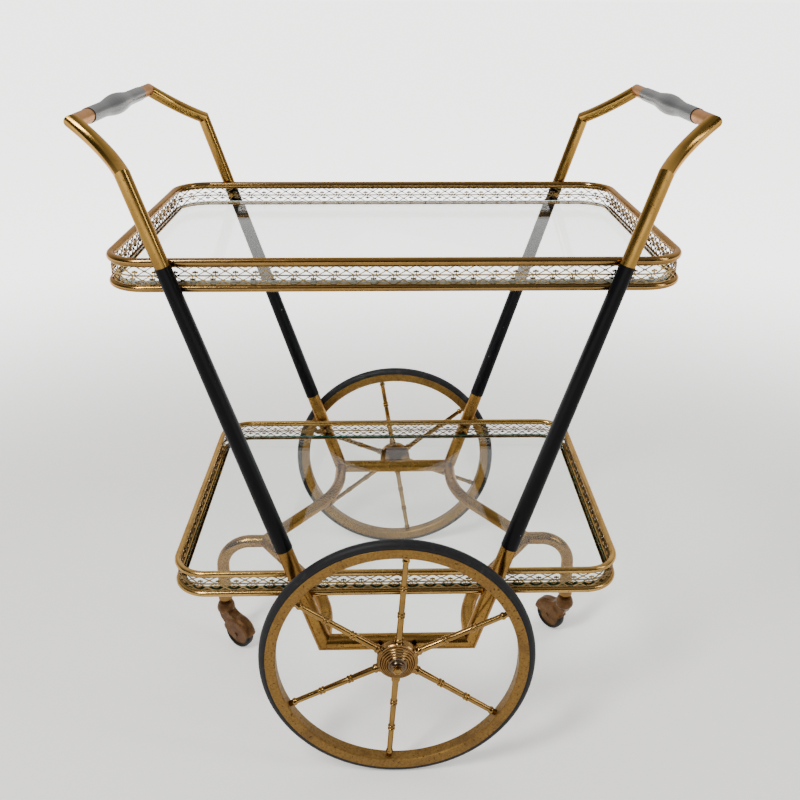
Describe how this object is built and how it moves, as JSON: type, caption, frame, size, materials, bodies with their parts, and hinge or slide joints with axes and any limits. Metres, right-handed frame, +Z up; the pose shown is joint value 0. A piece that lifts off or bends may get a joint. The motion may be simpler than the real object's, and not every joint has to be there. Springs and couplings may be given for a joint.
{
  "type": "serving_trolley",
  "caption": "Two-tier brass serving trolley with glass shelves, pierced galleries, spoked wheels and swivel casters.",
  "frame": {"origin": "on the floor under the middle of the trolley", "axes": "X along the trays to the right-hand handle, Y from the front wheel to the back wheel, Z up"},
  "size_m": [0.6838, 0.518, 0.7759],
  "materials": {
    "aged_brass": "polished, aged",
    "black_lacquer": "satin",
    "black_grip": "gloss",
    "steel_core": "plain",
    "rim_brass": "dull, spotted",
    "black_rubber": "worn",
    "cap_bronze": "dark",
    "hood_brown": "satin",
    "clear_glass": "clear"
  },
  "bodies": {
    "frame": {"bottom_bar_front": "aged_brass", "bottom_bar_back": "aged_brass", "lower_leg_front_left": "aged_brass", "lower_leg_front_right": "aged_brass", "lower_leg_back_left": "aged_brass", "lower_leg_back_right": "aged_brass", "leg_sleeve_front_left": "black_lacquer", "leg_sleeve_front_right": "black_lacquer", "leg_sleeve_back_left": "black_lacquer", "leg_sleeve_back_right": "black_lacquer", "upper_leg_front_left": "aged_brass", "upper_leg_front_right": "aged_brass", "upper_leg_back_left": "aged_brass", "upper_leg_back_right": "aged_brass", "handle_arm_front_left": "aged_brass", "handle_arm_front_right": "aged_brass", "handle_arm_back_left": "aged_brass", "handle_arm_back_right": "aged_brass", "handle_rods": "steel_core", "handle_ferrules": "aged_brass", "handle_grip_left": "black_grip", "handle_grip_right": "black_grip", "upper_top_rail": "aged_brass", "upper_bottom_rail": "aged_brass", "upper_gallery": "aged_brass", "lower_top_rail": "aged_brass", "lower_bottom_rail": "aged_brass", "lower_gallery": "aged_brass", "upper_ledge": "aged_brass", "lower_ledge": "aged_brass", "tray_screws": "aged_brass", "caster_branch_front_left": "aged_brass", "caster_branch_front_right": "aged_brass", "caster_branch_back_left": "aged_brass", "caster_branch_back_right": "aged_brass", "caster_neck_left": "aged_brass", "caster_neck_right": "aged_brass", "caster_ferrule_left": "aged_brass", "caster_ferrule_right": "aged_brass", "wheel_axles": "steel_core"},
    "front_wheel": {"front_tyre": "black_rubber", "front_rim": "rim_brass", "front_spokes": "aged_brass", "front_hub": "aged_brass", "front_hub_cap": "cap_bronze"},
    "back_wheel": {"back_tyre": "black_rubber", "back_rim": "rim_brass", "back_spokes": "aged_brass", "back_hub": "aged_brass", "back_hub_cap": "cap_bronze"},
    "left_caster": {"left_fork": "hood_brown", "left_caster_axle": "steel_core"},
    "left_caster_roller": {"left_caster_wheel": "aged_brass", "left_caster_tyre": "black_rubber"},
    "right_caster": {"right_fork": "hood_brown", "right_caster_axle": "steel_core"},
    "right_caster_roller": {"right_caster_wheel": "aged_brass", "right_caster_tyre": "black_rubber"},
    "upper_shelf": {"upper_glass": "clear_glass"},
    "lower_shelf": {"lower_glass": "clear_glass"}
  },
  "joints": [
    {"name": "front_wheel_spin", "type": "hinge", "parent": "frame", "child": "front_wheel", "pos_m": [0, -0.237, 0.16], "axis": [0, 1, 0], "continuous": true},
    {"name": "back_wheel_spin", "type": "hinge", "parent": "frame", "child": "back_wheel", "pos_m": [0, 0.237, 0.16], "axis": [0, 1, 0], "continuous": true},
    {"name": "left_caster_swivel", "type": "hinge", "parent": "frame", "child": "left_caster", "pos_m": [-0.243, 0, 0.07], "axis": [0, 0, 1], "continuous": true},
    {"name": "left_caster_spin", "type": "hinge", "parent": "left_caster", "child": "left_caster_roller", "pos_m": [-0.22334, -0.01377, 0.022], "axis": [0.5736, 0.8192, 0], "continuous": true},
    {"name": "right_caster_swivel", "type": "hinge", "parent": "frame", "child": "right_caster", "pos_m": [0.243, 0, 0.07], "axis": [0, 0, 1], "continuous": true},
    {"name": "right_caster_spin", "type": "hinge", "parent": "right_caster", "child": "right_caster_roller", "pos_m": [0.22757, 0.01838, 0.022], "axis": [-0.766, -0.6428, 0], "continuous": true},
    {"name": "upper_shelf_lift", "type": "slide", "parent": "frame", "child": "upper_shelf", "axis": [0, 0, 1], "range_m": [0, 0.06]},
    {"name": "lower_shelf_lift", "type": "slide", "parent": "frame", "child": "lower_shelf", "axis": [0, 0, 1], "range_m": [0, 0.06]}
  ]
}
